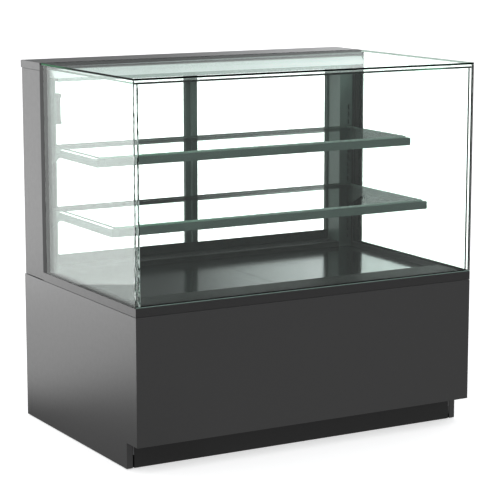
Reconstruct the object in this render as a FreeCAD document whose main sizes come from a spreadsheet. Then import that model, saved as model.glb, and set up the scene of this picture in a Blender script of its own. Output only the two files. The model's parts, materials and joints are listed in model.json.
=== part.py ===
"""Refrigerated bakery display case: glass box on a closed base, two shelves, rear sliding doors.

Frame: millimetres, +Z up, the customer side faces -Y, the origin is the middle of the footprint at floor level.
Each named piece is one sub-part. Its sizes are formulas over the aliases of the spreadsheet Sizes.
"""
import FreeCAD
import Part

import math
import os
import re

import Sketcher

Vector = FreeCAD.Vector
Rotation = FreeCAD.Rotation

# ---------------------------------------------------------------- driving dimensions
SIZES = {
    # whole case
    "overall_width": 1200, "overall_depth": 816, "overall_height": 1176, "play": 0.4, "sheet": 1.5,
    # base cabinet
    "panel_thick": 20, "floor_gap": 3, "kick_height": 84, "kick_recess": 71, "foot_slit": 5,
    "band_top": 505, "band_height": 27, "pan_top": 84, "pan_height": 40,
    # upper frame
    "upright_front": 257, "upright_inset": 10, "upright_thick": 12, "shadow_gap": 2,
    "cap_height": 24, "cap_depth": 153,
    "post_outer": 587, "post_inner": 536, "post_front": 278, "post_rear": 350, "post_top": 1150, "post_wall": 2,
    "slot_middle": 571.5, "slot_wide": 6, "slot_tall": 17, "slot_pitch": 25, "slot_first": 517, "slot_count": 19,
    # glass box
    "pane_thick": 6, "pane_gap": 6, "glass_bed": 1, "glass_rear": 254.5, "top_glass_rear": 243, "arris": 1,
    "spacer_tall": 4, "rear_spacer": 27,
    # display deck
    "deck_level": 488, "ledge_reach": 143, "ledge_lip": 15, "deck_skirt": 22, "deck_rear": 276,
    "intake_pitch": 50, "intake_count": 22, "intake_wide": 40, "intake_tall": 7,
    "outlet_pitch": 20, "outlet_count": 52, "outlet_wide": 3, "outlet_deep": 40,
    # shelves
    "upper_top": 907, "upper_reach": 378, "lower_top": 707, "lower_reach": 478,
    "plate_thick": 4, "rail_tall": 25, "rail_deep": 22, "rear_bar": 6, "rear_bar_tall": 12,
    "gusset_drop": 64, "gusset_start": 27, "gusset_length": 100, "hook_tall": 7, "hook_drop": 6, "hook_thick": 3.6,
    "shelf_glass": 6, "shelf_glass_half": 560, "shelf_glass_rear": 266,
    # sliding doors
    "inner_plane": 354, "outer_plane": 373, "door_thick": 14, "door_low": 509, "door_high": 1134,
    "door_edge": 559, "outer_stile": 30, "meeting_stile": 20, "door_rail": 24, "meeting_lap": 4,
    "door_glass": 4, "glass_groove": 8, "grip_low": 700, "grip_high": 1000, "grip_wide": 10, "grip_proud": 13,
    "track_front": 350.5, "track_rear": 390, "track_wall": 2, "sill_top": 538, "track_floor": 508,
    "header_low": 1113, "guide_roof": 1140, "fin_front": 370,
    # lamp
    "lamp_front": 188, "lamp_crest": 212, "lamp_low": 1131, "lamp_high": 1157, "lamp_rear": 253, "lamp_half": 580,
    "led_count": 36, "led_pitch": 31,
    # cold well
    "tub_low": 300, "tub_rim": 466, "tub_wall": 40, "tub_floor": 50, "tub_half": 578, "tub_front": 386, "tub_skin": 2,
    "coil_half": 380, "coil_front": 90, "coil_rear": 210, "coil_low": 362, "coil_high": 440,
    "fan_plate_front": 20, "cold_fan_x": 200, "cold_fan_z": 408, "cold_fan_radius": 50,
    # condensing unit
    "condenser_low_x": 130, "condenser_high_x": 430, "condenser_front": 300, "condenser_rear": 240,
    "condenser_low": 86, "condenser_high": 274, "fan_x": 280, "fan_z": 180, "fan_radius": 84,
    "compressor_x": 360, "compressor_y": 120, "can_radius": 80, "can_low": 94, "can_high": 255,
    "shaft_radius": 4, "shaft_clearance": 0.05, "pipe_radius": 5, "pipe_bend": 25, "pipe_hole": 9,
    # rear side
    "rear_skin": 2, "rear_panel_deep": 16, "service_left": 60, "service_low": 92, "service_high": 326,
    "louvre_wide": 520, "louvre_tall": 6, "louvre_pitch": 18, "louvre_count": 11,
    "probe_low": 975, "probe_tall": 98,
    "tray_left": 540, "tray_right": 100, "tray_face_low": 86, "tray_face_high": 150, "tray_tall": 46, "tray_inset": 40,
    "fascia_x": 430, "fascia_z": 415, "fascia_wide": 220, "fascia_tall": 60,
    "switch_x": 510, "switch_wide": 22, "switch_tall": 30, "switch_tilt": 6, "pin_radius": 2,
    "gland_x": 500, "gland_z": 200, "gland_radius": 11,
    # levelling feet
    "foot_x": 520, "foot_front": 290, "foot_rear": 340, "foot_pad_radius": 22, "stud_radius": 5, "stud_top": 96,
}

doc = FreeCAD.newDocument("bakery_display_case")
sheet = doc.addObject("Spreadsheet::Sheet", "Sizes")
for row, (alias, size) in enumerate(SIZES.items(), start=1):
    sheet.set(f"A{row}", alias)
    sheet.set(f"B{row}", str(size))
    sheet.setAlias(f"B{row}", alias)
doc.recompute()


# ---------------------------------------------------------------- building helpers
def formula(text):
    """The expression with every alias pointed at the spreadsheet."""
    return re.sub(r"[a-z_]+", lambda word: "Sizes." + word.group() if word.group() in SIZES else word.group(), text)


def number(text):
    """The present value of an expression over the aliases."""
    value = sheet.evalExpression(text)
    return float(getattr(value, "Value", value))


def flip(text):
    """The mirrored coordinate."""
    return f"-({text})"


def mirror_x(side, low, high):
    """The x range low..high on the right (side 1), or its mirror image on the left (side -1)."""
    return (low, high) if side > 0 else (flip(high), flip(low))


def set_base(item, x="0", y="0", z="0"):
    for letter, text in zip("xyz", (x, y, z)):
        item.setExpression(f"Placement.Base.{letter}", formula(text))


def box(label, x_range, y_range, z_range):
    item = doc.addObject("Part::Box", "Block")
    item.Label = label
    for side, (low, high) in zip(("Length", "Width", "Height"), (x_range, y_range, z_range)):
        item.setExpression(side, formula(f"({high}) - ({low})"))
    set_base(item, x_range[0], y_range[0], z_range[0])
    return item


def rod(label, radius, start, length, axis="z"):
    """A cylinder from start along one axis."""
    item = doc.addObject("Part::Cylinder", "Rod")
    item.Label = label
    item.setExpression("Radius", formula(radius))
    item.setExpression("Height", formula(length))
    turned = {"x": Rotation(Vector(0, 1, 0), 90), "y": Rotation(Vector(1, 0, 0), -90), "z": Rotation()}
    item.Placement = FreeCAD.Placement(Vector(), turned[axis])
    set_base(item, *start)
    return item


def cut(label, base, *tools):
    """The base with every tool taken out of it."""
    item = doc.addObject("Part::Cut", "Cut")
    item.Label = label
    item.Base = base
    item.Tool = tools[0] if len(tools) == 1 else fuse(label + "_tools", *tools)
    return item


def fuse(label, *pieces):
    item = doc.addObject("Part::MultiFuse", "Fusion")
    item.Label = label
    item.Shapes = list(pieces)
    return item


def common(label, first, second):
    item = doc.addObject("Part::Common", "Common")
    item.Label = label
    item.Base = first
    item.Tool = second
    return item


def group(label, *pieces):
    """Separate solids that share one node."""
    item = doc.addObject("Part::Compound", "Group")
    item.Label = label
    item.Links = list(pieces)
    return item


def own_plane(body, role):
    return next(feature for feature in body.Origin.OriginFeatures if feature.Role == role)


def sketch_on(body, role, height="0"):
    """An empty sketch on one of the body's own planes, moved along that plane's normal."""
    sketch = body.newObject("Sketcher::SketchObject", "Sketch")
    sketch.AttachmentSupport = [(own_plane(body, role), "")]
    sketch.MapMode = "FlatFace"
    sketch.setExpression("AttachmentOffset.Base.z", formula(height))
    return sketch


def add_outline(sketch, corners):
    """A closed polygon whose corners are tied to the spreadsheet."""
    first = sketch.GeometryCount
    count = len(corners)
    places = [Vector(number(across), number(up), 0) for across, up in corners]
    for index in range(count):
        sketch.addGeometry(Part.LineSegment(places[index], places[(index + 1) % count]))
    for index in range(count):
        sketch.addConstraint(Sketcher.Constraint("Coincident", first + index, 2, first + (index + 1) % count, 1))
    for index, corner in enumerate(corners):
        for kind, text, value, axis in (
            ("DistanceX", corner[0], places[index].x, -2),
            ("DistanceY", corner[1], places[index].y, -1),
        ):
            if value == 0:
                sketch.addConstraint(Sketcher.Constraint("PointOnObject", first + index, 1, axis))
                continue
            place = sketch.addConstraint(Sketcher.Constraint(kind, -1, 1, first + index, 1, value))
            sketch.setExpression(f"Constraints[{place}]", formula(text))


def rectangle(left, low, right, high):
    return [(left, low), (right, low), (right, high), (left, high)]


def extrusion(label, role, start, length, *outlines):
    """A body padded from one or more closed outlines: the second and later ones are holes.

    role XY_Plane: outline (x, y), along +Z.  role YZ_Plane: outline (y, z), along +X.
    role XZ_Plane: outline (x, z), along +Y.
    """
    body = doc.addObject("PartDesign::Body", "Body")
    body.Label = label
    sketch = sketch_on(body, role)
    for outline in outlines:
        add_outline(sketch, outline)
    pad = body.newObject("PartDesign::Pad", "Pad")
    pad.Profile = sketch
    pad.setExpression("Length", formula(length))
    pad.Reversed = role == "XZ_Plane"
    letter = {"XY_Plane": "z", "YZ_Plane": "x", "XZ_Plane": "y"}[role]
    set_base(body, **{letter: start})
    return body


def cut_row(body, role, height, outline, depth, direction, pitch, count):
    """Pockets one outline into a body and repeats it in a row along a sketch axis."""
    sketch = sketch_on(body, role, height)
    add_outline(sketch, outline)
    pocket = body.newObject("PartDesign::Pocket", "Pocket")
    pocket.Profile = sketch
    pocket.setExpression("Length", formula(depth))
    pocket.Midplane = True
    row = body.newObject("PartDesign::LinearPattern", "Row")
    row.Originals = [pocket]
    row.Direction = (sketch, [direction])
    row.setExpression("Length", formula(f"{pitch} * ({count} - 1)"))
    row.setExpression("Occurrences", formula(count))
    body.Tip = row
    return body


def grind_edges(body, size):
    """A small chamfer on every edge of a body, as on a ground pane of glass."""
    doc.recompute()
    pad = body.Tip
    chamfer = body.newObject("PartDesign::Chamfer", "Arris")
    chamfer.Base = (pad, [f"Edge{index + 1}" for index in range(len(pad.Shape.Edges))])
    chamfer.setExpression("Size", formula(size))
    return body


def turned_profile(label, outline, x, y):
    """A body of revolution about the vertical through (x, y), from an outline of (radius, z)."""
    body = doc.addObject("PartDesign::Body", "Body")
    body.Label = label
    sketch = sketch_on(body, "XZ_Plane")
    add_outline(sketch, outline)
    turn = body.newObject("PartDesign::Revolution", "Revolution")
    turn.Profile = sketch
    turn.ReferenceAxis = (sketch, ["V_Axis"])
    turn.Angle = 360
    set_base(body, x=x, y=y)
    return body


# ---------------------------------------------------------------- shared places
HALF_WIDTH = "overall_width / 2"
FRONT = "-overall_depth / 2"
REAR = "overall_depth / 2"
INSIDE = f"{HALF_WIDTH} - panel_thick"
SEAM = "band_top - band_height"
KICK_FACE = f"{FRONT} + kick_recess"
UNIT_THICK = "(2 * pane_thick + pane_gap)"
PANE_INSIDE = f"{HALF_WIDTH} - {UNIT_THICK}"
PANE_EDGE = f"{FRONT} + pane_thick + play"
GLASS_LOW = "band_top + glass_bed"
OUTER_HIGH = "overall_height - pane_thick - play"
INNER_HIGH = f"overall_height - {UNIT_THICK} - play"
CAP_FRONT = f"{REAR} - cap_depth"
UPRIGHT_REAR = f"{REAR} - upright_inset"
LEDGE_REAR = f"{FRONT} + ledge_reach"


# ---------------------------------------------------------------- base cabinet
def base_side(side):
    """Folded sheet side panel: mitred front edge, notch for the toe kick, open towards the inside."""
    name = "base_side_right" if side > 0 else "base_side_left"
    low, high = mirror_x(side, INSIDE, HALF_WIDTH)
    top = f"{SEAM} - 1"
    profile = extrusion(
        name + "_profile", "YZ_Plane", low, "panel_thick",
        [(KICK_FACE, "floor_gap"), (REAR, "floor_gap"), (REAR, top), (FRONT, top),
         (FRONT, "kick_height"), (KICK_FACE, "kick_height")],
    )
    outer, inner = (HALF_WIDTH, INSIDE) if side > 0 else (flip(HALF_WIDTH), flip(INSIDE))
    corner = f"{FRONT} + play"
    footprint = extrusion(
        name + "_footprint", "XY_Plane", "0", SEAM,
        [(outer, corner), (inner, f"{corner} + panel_thick"), (inner, REAR), (outer, REAR)],
    )
    skin = mirror_x(side, f"{INSIDE} - 1", f"{HALF_WIDTH} - sheet")
    upper = box(name + "_cavity", skin, (f"{FRONT} + panel_thick + sheet", f"{REAR} - sheet"),
                ("kick_height + sheet", f"{top} - sheet"))
    lower = box(name + "_foot_cavity", skin, (f"{KICK_FACE} + sheet", f"{REAR} - sheet"),
                ("floor_gap + sheet", "kick_height + 2 * sheet"))
    return cut(name, common(name + "_blank", profile, footprint), upper, lower)


def front_panel():
    """Folded sheet front, mitred into both side panels."""
    blank = extrusion(
        "front_panel_blank", "XY_Plane", "kick_height", f"{SEAM} - 1 - kick_height",
        [(flip(HALF_WIDTH), FRONT), (HALF_WIDTH, FRONT), (INSIDE, f"{FRONT} + panel_thick"),
         (flip(INSIDE), f"{FRONT} + panel_thick")],
    )
    cavity = box("front_panel_cavity", (f"-({INSIDE}) + sheet", f"{INSIDE} - sheet"),
                 (f"{FRONT} + sheet", f"{FRONT} + panel_thick + 1"),
                 ("kick_height + sheet", f"{SEAM} - 1 - sheet"))
    return cut("front_panel", blank, cavity)


def kick_plate():
    """Recessed plinth sheet: a flange closes the space over the toes, a joggled tab closes each end slit."""
    front, rear = KICK_FACE, f"{KICK_FACE} + sheet"
    reach = f"{FRONT} + panel_thick + play"
    high, low = "kick_height - play", "kick_height - play - sheet"
    half = f"{INSIDE} - foot_slit"
    plate = extrusion(
        "kick_sheet", "YZ_Plane", flip(half), f"2 * ({half})",
        [(front, "floor_gap"), (rear, "floor_gap"), (rear, high), (reach, high), (reach, low), (front, low)],
    )
    ends = []
    for side in (-1, 1):
        depth = (f"{front} + 0.5", f"{front} + 12")
        below = ("floor_gap", "pan_top - pan_height - 1")
        ends.append(box("kick_return", mirror_x(side, f"{half} - sheet", half), depth, below))
        ends.append(box("kick_tab", mirror_x(side, f"{half} - sheet", f"{INSIDE} - play"),
                        (f"{front} + 12 - sheet", f"{front} + 12"), below))
    return fuse("kick_plate", plate, *ends)


def base_pan():
    """Floor of the machine space: a folded pan standing on the four feet."""
    half = f"{INSIDE} - 3"
    front, rear = f"{KICK_FACE} + sheet + play", f"{REAR} - rear_panel_deep - 2"
    outside = box("base_pan_blank", (flip(half), half), (front, rear), ("pan_top - pan_height", "pan_top"))
    inside = box("base_pan_hollow", (f"-({half}) + 2", f"{half} - 2"), (f"{front} + 2", f"{rear} - 2"),
                 ("pan_top - pan_height - 1", "pan_top - 2"))
    places = FOOT_PLACES.values()
    bosses = [rod("stud_boss", "stud_radius + 7", (x, y, "pan_top - 20"), "19") for x, y in places]
    threads = [rod("stud_thread", "stud_radius + shaft_clearance", (x, y, "pan_top - 21"), "22") for x, y in places]
    return cut("base_pan", fuse("pan_with_bosses", cut("pan_sheet", outside, inside), *bosses), *threads)


FOOT_PLACES = {
    "levelling_foot_front_left": ("-foot_x", "-foot_front"),
    "levelling_foot_front_right": ("foot_x", "-foot_front"),
    "levelling_foot_rear_left": ("-foot_x", "foot_rear"),
    "levelling_foot_rear_right": ("foot_x", "foot_rear"),
}


def levelling_foot(name):
    """Round pad on a stud, with a hexagon for the spanner."""
    x, y = FOOT_PLACES[name]
    turned = turned_profile(
        name + "_turning",
        [("0", "0"), ("foot_pad_radius", "0"), ("foot_pad_radius", "5"), ("stud_radius + 3", "11"),
         ("stud_radius + 3", "14"), ("stud_radius", "14"), ("stud_radius", "stud_top"), ("0", "stud_top")],
        x, y,
    )
    hexagon = doc.addObject("Part::Prism", "Hexagon")
    hexagon.Label = name + "_hexagon"
    hexagon.Polygon = 6
    hexagon.setExpression("Circumradius", formula("stud_radius * 2"))
    hexagon.setExpression("Height", "8")
    set_base(hexagon, x, y, "18")
    return fuse(name, turned, hexagon)


def side_frame(side):
    """L-shaped side: the band beside the deck and the upright that covers the rear post."""
    name = "side_frame_right" if side > 0 else "side_frame_left"
    outer, inner = (HALF_WIDTH, INSIDE) if side > 0 else (flip(HALF_WIDTH), flip(INSIDE))
    corner = f"{FRONT} + play"
    band = extrusion(
        name + "_band", "XY_Plane", SEAM, "band_height",
        [(outer, corner), (inner, f"{corner} + panel_thick"), (inner, "upright_front"), (outer, "upright_front")],
    )
    top = "overall_height - cap_height - play"
    upright = box(name + "_upright", mirror_x(side, f"{HALF_WIDTH} - upright_thick", HALF_WIDTH),
                  ("upright_front - 1", UPRIGHT_REAR), (f"{SEAM} + shadow_gap", top))
    band_hollow = box(name + "_band_hollow", mirror_x(side, f"{INSIDE} + sheet", f"{HALF_WIDTH} - sheet"),
                      (f"{FRONT} + panel_thick + sheet", "upright_front - 1"), (f"{SEAM} - 1", "band_top - sheet"))
    upright_hollow = box(name + "_upright_hollow",
                         mirror_x(side, f"{HALF_WIDTH} - upright_thick + sheet", f"{HALF_WIDTH} - sheet"),
                         ("upright_front - 1 + sheet", f"{UPRIGHT_REAR} - sheet"), (f"{SEAM} - 1", f"{top} - sheet"))
    return cut(name, fuse(name + "_blank", band, upright), band_hollow, upright_hollow)


def front_band():
    """Channel under the front pane, open below and mitred into the side frames."""
    blank = extrusion(
        "front_band_blank", "XY_Plane", SEAM, "band_height",
        [(flip(HALF_WIDTH), FRONT), (HALF_WIDTH, FRONT), (INSIDE, f"{FRONT} + panel_thick"),
         (flip(INSIDE), f"{FRONT} + panel_thick")],
    )
    hollow = box("front_band_hollow", (f"-({INSIDE}) + sheet", f"{INSIDE} - sheet"),
                 (f"{FRONT} + sheet", f"{FRONT} + panel_thick - sheet"), (f"{SEAM} - 1", "band_top - sheet"))
    return cut("front_band", blank, hollow)


# ---------------------------------------------------------------- upper frame
def rear_post(side):
    """Hollow box section with a row of shelf slots in its front wall and a screw hole near the top."""
    name = "rear_post_right" if side > 0 else "rear_post_left"
    left, right = mirror_x(side, "post_inner", "post_outer")
    body = extrusion(
        name, "XY_Plane", SEAM, f"post_top - ({SEAM})",
        rectangle(left, "post_front", right, "post_rear"),
        rectangle(f"{left} + post_wall", "post_front + post_wall", f"{right} - post_wall", "post_rear - post_wall"),
    )
    slot_x = "slot_middle" if side > 0 else flip("slot_middle")
    low = f"slot_first - ({SEAM})"
    return cut_row(
        body, "XZ_Plane", "-(post_front + post_wall / 2)",
        rectangle(f"{slot_x} - slot_wide / 2", low, f"{slot_x} + slot_wide / 2", f"{low} + slot_tall"),
        "2 * post_wall", "V_Axis", "slot_pitch", "slot_count",
    )


def header_cap():
    """Folded sheet cover across the top of the rear."""
    outside = box("header_cap_blank", (flip(HALF_WIDTH), HALF_WIDTH), (CAP_FRONT, REAR),
                  ("overall_height - cap_height", "overall_height"))
    inside = box("header_cap_hollow", (f"-({HALF_WIDTH}) + 2", f"{HALF_WIDTH} - 2"),
                 (f"{CAP_FRONT} + 2", f"{REAR} - 2"), ("overall_height - cap_height - 1", "overall_height - 2"))
    return cut("header_cap", outside, inside)


def header_rail():
    """Beam between the posts, with the upper guide of the sliding doors behind it."""
    beam_half = "post_inner - play"
    beam = extrusion(
        "header_beam", "YZ_Plane", flip(beam_half), f"2 * ({beam_half})",
        rectangle("upright_front", "header_low", "track_front + 1", "post_top"),
        rectangle("upright_front + 2", "header_low + 2", "track_front - 1", "post_top - 2"),
    )
    guide_half = "post_outer - 1"
    front, back = "track_front", "track_front + track_wall"
    fin_rear = "fin_front + track_wall"
    rear_wall = "track_rear - track_wall"
    guide = extrusion(
        "header_guide", "YZ_Plane", flip(guide_half), f"2 * ({guide_half})",
        [(front, "header_low"), (back, "header_low"), (back, "guide_roof"), ("fin_front", "guide_roof"),
         ("fin_front", "guide_roof - 14"), (fin_rear, "guide_roof - 14"), (fin_rear, "guide_roof"),
         (rear_wall, "guide_roof"), (rear_wall, "guide_roof - 18"), ("track_rear", "guide_roof - 18"),
         ("track_rear", "post_top"), (front, "post_top")],
    )
    return fuse("header_rail", beam, guide)


def door_sill():
    """Lower guide of the sliding doors: a hollow extrusion with two grooves."""
    front, back = "track_front", "track_front + track_wall"
    fin_rear = "fin_front + track_wall"
    rear_wall = "track_rear - track_wall"
    return extrusion(
        "door_sill", "YZ_Plane", "-(post_outer - 1)", "2 * (post_outer - 1)",
        [(front, SEAM), (front, "sill_top"), (back, "sill_top"), (back, "track_floor"),
         ("fin_front", "track_floor"), ("fin_front", "track_floor + 6"), (fin_rear, "track_floor + 6"),
         (fin_rear, "track_floor"), (rear_wall, "track_floor"), (rear_wall, "track_floor + 12"),
         ("track_rear", "track_floor + 12"), ("track_rear", SEAM)],
        rectangle(f"{back} + 1", f"{SEAM} + 3", f"{rear_wall} - 1", "track_floor - 3"),
    )


def temperature_probe_guard():
    """Clip-on cover of the air temperature probe, with a thicker cap at each end."""
    touch = "-post_inner"
    low, high, cap = "probe_low", "probe_low + probe_tall", "12"
    body = box("guard_body", (touch, f"{touch} + 18"), ("post_front + 3", "post_front + 27"), (low, high))
    foot = box("guard_low_cap", (touch, f"{touch} + 21"), ("post_front + 2", "post_front + 28"),
               (low, f"{low} + {cap}"))
    head = box("guard_high_cap", (touch, f"{touch} + 21"), ("post_front + 2", "post_front + 28"),
               (f"{high} - {cap}", high))
    return fuse("temperature_probe_guard", body, foot, head)


# ---------------------------------------------------------------- glass box
def front_glass():
    """Double glazing at the front: the outer pane covers the edges of the side units, the inner one fits between."""
    behind = f"{FRONT} + pane_thick"
    outer = extrusion(
        "front_outer_pane", "XY_Plane", GLASS_LOW, f"{OUTER_HIGH} - ({GLASS_LOW})",
        [(f"-({HALF_WIDTH}) + arris", FRONT), (f"{HALF_WIDTH} - arris", FRONT), (HALF_WIDTH, f"{FRONT} + arris"),
         (HALF_WIDTH, behind), (flip(HALF_WIDTH), behind), (flip(HALF_WIDTH), f"{FRONT} + arris")],
    )
    half = f"{PANE_INSIDE} - play"
    inner = box("front_inner_pane", (flip(half), half), (f"{behind} + pane_gap", f"{FRONT} + {UNIT_THICK}"),
                (GLASS_LOW, INNER_HIGH))
    return group("front_glass", outer, inner)


def side_glass(side):
    """Double glazing at one side: both panes run forward to the back of the front outer pane."""
    name = "side_glass_right" if side > 0 else "side_glass_left"
    depth = (PANE_EDGE, "glass_rear")
    outer = box(name + "_outer", mirror_x(side, f"{HALF_WIDTH} - pane_thick", HALF_WIDTH), depth,
                (GLASS_LOW, OUTER_HIGH))
    inner = box(name + "_inner", mirror_x(side, PANE_INSIDE, f"{PANE_INSIDE} + pane_thick"), depth,
                (GLASS_LOW, INNER_HIGH))
    return group(name, outer, inner)


def top_glass():
    """Double glazing on top: the outer pane lies over the other units, with its edges ground to an arris."""
    outer = grind_edges(
        extrusion(
            "top_outer_pane", "XY_Plane", "overall_height - pane_thick", "pane_thick",
            rectangle(flip(HALF_WIDTH), FRONT, HALF_WIDTH, "top_glass_rear"),
        ),
        "arris",
    )
    half = f"{HALF_WIDTH} - pane_thick - play"
    inner = box("top_inner_pane", (flip(half), half), (PANE_EDGE, "top_glass_rear"),
                (f"overall_height - {UNIT_THICK}", "overall_height - pane_thick - pane_gap"))
    return group("top_glass", outer, inner)


def glazing_seals():
    """Black glazing strips: beds under the panes, spacers between them and joints along their rear edges."""
    half = f"{PANE_INSIDE} - play"
    top_half = f"{HALF_WIDTH} - pane_thick - play"
    bed_high = f"{GLASS_LOW} + spacer_tall"
    joint_y = ("top_glass_rear + play", f"{CAP_FRONT} - play")
    strips = [
        box("front_bed", (flip(half), half), (f"{FRONT} + 2", f"{FRONT} + panel_thick"), ("band_top", GLASS_LOW)),
        box("front_spacer", (flip(half), half), (f"{FRONT} + pane_thick", f"{FRONT} + pane_thick + pane_gap"),
            (GLASS_LOW, bed_high)),
        fuse("cap_joint",
             box("cap_joint_high", (flip(HALF_WIDTH), HALF_WIDTH), joint_y,
                 ("overall_height - pane_thick", "overall_height - 0.5")),
             box("cap_joint_low", (flip(top_half), top_half), joint_y,
                 (f"overall_height - {UNIT_THICK}", "overall_height - pane_thick"))),
        box("top_spacer", (flip(top_half), top_half), ("top_glass_rear - rear_spacer / 2", "top_glass_rear"),
            ("overall_height - pane_thick - pane_gap", "overall_height - pane_thick")),
    ]
    for side in (-1, 1):
        between = mirror_x(side, f"{PANE_INSIDE} + pane_thick", f"{HALF_WIDTH} - pane_thick")
        strips += [
            box("side_bed", mirror_x(side, PANE_INSIDE, f"{HALF_WIDTH} - 2"), (PANE_EDGE, "glass_rear"),
                ("band_top", GLASS_LOW)),
            fuse("side_spacer",
                 box("low_spacer", between, (PANE_EDGE, "glass_rear"), (GLASS_LOW, bed_high)),
                 box("rear_spacer", between, ("glass_rear - rear_spacer", "glass_rear"), (GLASS_LOW, INNER_HIGH))),
            box("upright_joint", mirror_x(side, PANE_INSIDE, f"{HALF_WIDTH} - 0.5"),
                ("glass_rear", "upright_front - 1"), (GLASS_LOW, "overall_height - cap_height - play")),
        ]
    return group("glazing_seals", *strips)


# ---------------------------------------------------------------- lamp under the top glass
def lamp_housing():
    """Extruded housing, open below, with an end plate at each end."""
    skin = [("lamp_front", "lamp_low"), ("lamp_crest", "lamp_high"), ("lamp_rear", "lamp_high"),
            ("lamp_rear", "lamp_low")]
    channel = skin + [("lamp_rear - 2", "lamp_low"), ("lamp_rear - 2", "lamp_high - 2"),
                      ("lamp_crest + 1", "lamp_high - 2"), ("lamp_front + 2.5", "lamp_low")]
    profile = extrusion("lamp_profile", "YZ_Plane", "-(lamp_half - 2)", "2 * (lamp_half - 2)", channel)
    ends = [extrusion("lamp_end", "YZ_Plane", start, "2", skin) for start in ("-lamp_half", "lamp_half - 2")]
    return fuse("lamp_housing", profile, *ends)


def lamp_diffuser():
    return box("lamp_diffuser", ("-(lamp_half - 2.5)", "lamp_half - 2.5"), ("lamp_front + 5", "lamp_rear - 2.5"),
               ("lamp_low + 0.5", "lamp_low + 2.5"))


def led_strip():
    """Circuit board under the roof of the lamp housing, with a row of light-emitting diodes."""
    middle = "(lamp_crest + lamp_rear) / 2"
    roof = "lamp_high - 2"
    board = box("led_board", ("-(lamp_half - 12)", "lamp_half - 12"), (f"{middle} - 8", f"{middle} + 8"),
                (f"{roof} - 1.6", roof))
    chips = []
    for index in range(int(SIZES["led_count"])):
        x = f"({index} - (led_count - 1) / 2) * led_pitch"
        chips.append(box("led_chip", (f"{x} - 2.5", f"{x} + 2.5"), (f"{middle} - 2.5", f"{middle} + 2.5"),
                         (f"{roof} - 3", f"{roof} - 1.5")))
    return fuse("led_strip", board, *chips)


# ---------------------------------------------------------------- display deck
def front_ledge():
    """Black ledge behind the front pane, with a slotted lip down to the deck where the air returns."""
    front = f"{FRONT} + panel_thick + play"
    half = f"{INSIDE} - play"
    body = extrusion(
        "front_ledge", "YZ_Plane", f"-({half})", f"2 * ({half})",
        [(front, "band_top - 2"), (front, "band_top"), (LEDGE_REAR, "band_top"),
         (LEDGE_REAR, "band_top - ledge_lip"), (f"{LEDGE_REAR} - 2", "band_top - ledge_lip"),
         (f"{LEDGE_REAR} - 2", "band_top - 2")],
    )
    start = "-(intake_pitch * (intake_count - 1) / 2) - intake_wide / 2"
    low = "band_top - ledge_lip + 3"
    return cut_row(
        body, "XZ_Plane", f"-({LEDGE_REAR} - 1)",
        rectangle(start, low, f"{start} + intake_wide", f"{low} + intake_tall"),
        "6", "H_Axis", "intake_pitch", "intake_count",
    )


def deck_panel(side):
    """Removable deck panel: a shallow pan, open below."""
    name = "deck_panel_right" if side > 0 else "deck_panel_left"
    front, rear = f"{LEDGE_REAR} + 1", "deck_rear"
    low = "deck_level - deck_skirt"
    outside = box(name + "_blank", mirror_x(side, "0.5", f"{INSIDE} - 1.5"), (front, rear), (low, "deck_level"))
    inside = box(name + "_hollow", mirror_x(side, "0.5 + sheet", f"{INSIDE} - 1.5 - sheet"),
                 (f"{front} + sheet", f"{rear} - sheet"), (f"{low} - 1", "deck_level - sheet"))
    return cut(name, outside, inside)


def air_outlet_ledge():
    """Folded strip in front of the doors: a riser from the deck and a ledge with air slots."""
    half = "post_inner - play"
    body = extrusion(
        "air_outlet_ledge", "YZ_Plane", flip(half), f"2 * ({half})",
        [("post_front - 1", f"{SEAM} + 1"), ("post_front + 1", f"{SEAM} + 1"), ("post_front + 1", "band_top - 2"),
         ("track_front - play", "band_top - 2"), ("track_front - play", "band_top"), ("post_front - 1", "band_top")],
    )
    start = f"{half} - outlet_pitch * (outlet_count - 1) / 2 - outlet_wide / 2"
    middle = "(post_front + track_front) / 2"
    return cut_row(
        body, "XY_Plane", "band_top",
        rectangle(start, f"{middle} - outlet_deep / 2", f"{start} + outlet_wide", f"{middle} + outlet_deep / 2"),
        "6", "H_Axis", "outlet_pitch", "outlet_count",
    )


# ---------------------------------------------------------------- shelves
HOOK_DROPS = ("40", "15")


def shelf_bracket(level, side):
    """Cantilever plate with a gusset at its root and two hooks that drop into the post's slots."""
    name = f"{level}_shelf_bracket_right" if side > 0 else f"{level}_shelf_bracket_left"
    top = f"{level}_top"
    root = "post_front - play"
    front = f"post_front - {level}_reach"
    arm_low = f"{top} - rail_tall"
    gusset_low = f"{top} - gusset_drop"
    neck = "post_front + post_wall + play"
    outline = [(root, top), (front, top), (front, arm_low), ("post_front - gusset_length", arm_low),
               ("post_front - gusset_start", gusset_low), (root, gusset_low)]
    for drop in HOOK_DROPS:
        low = f"{top} - {drop} + 0.3"
        outline += [(root, low), (neck, low), (neck, f"{low} - hook_drop"),
                    (f"{neck} + hook_thick", f"{low} - hook_drop"), (f"{neck} + hook_thick", f"{low} + hook_tall"),
                    (root, f"{low} + hook_tall")]
    middle = "slot_middle" if side > 0 else flip("slot_middle")
    return extrusion(name, "YZ_Plane", f"{middle} - plate_thick / 2", "plate_thick", outline)


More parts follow.
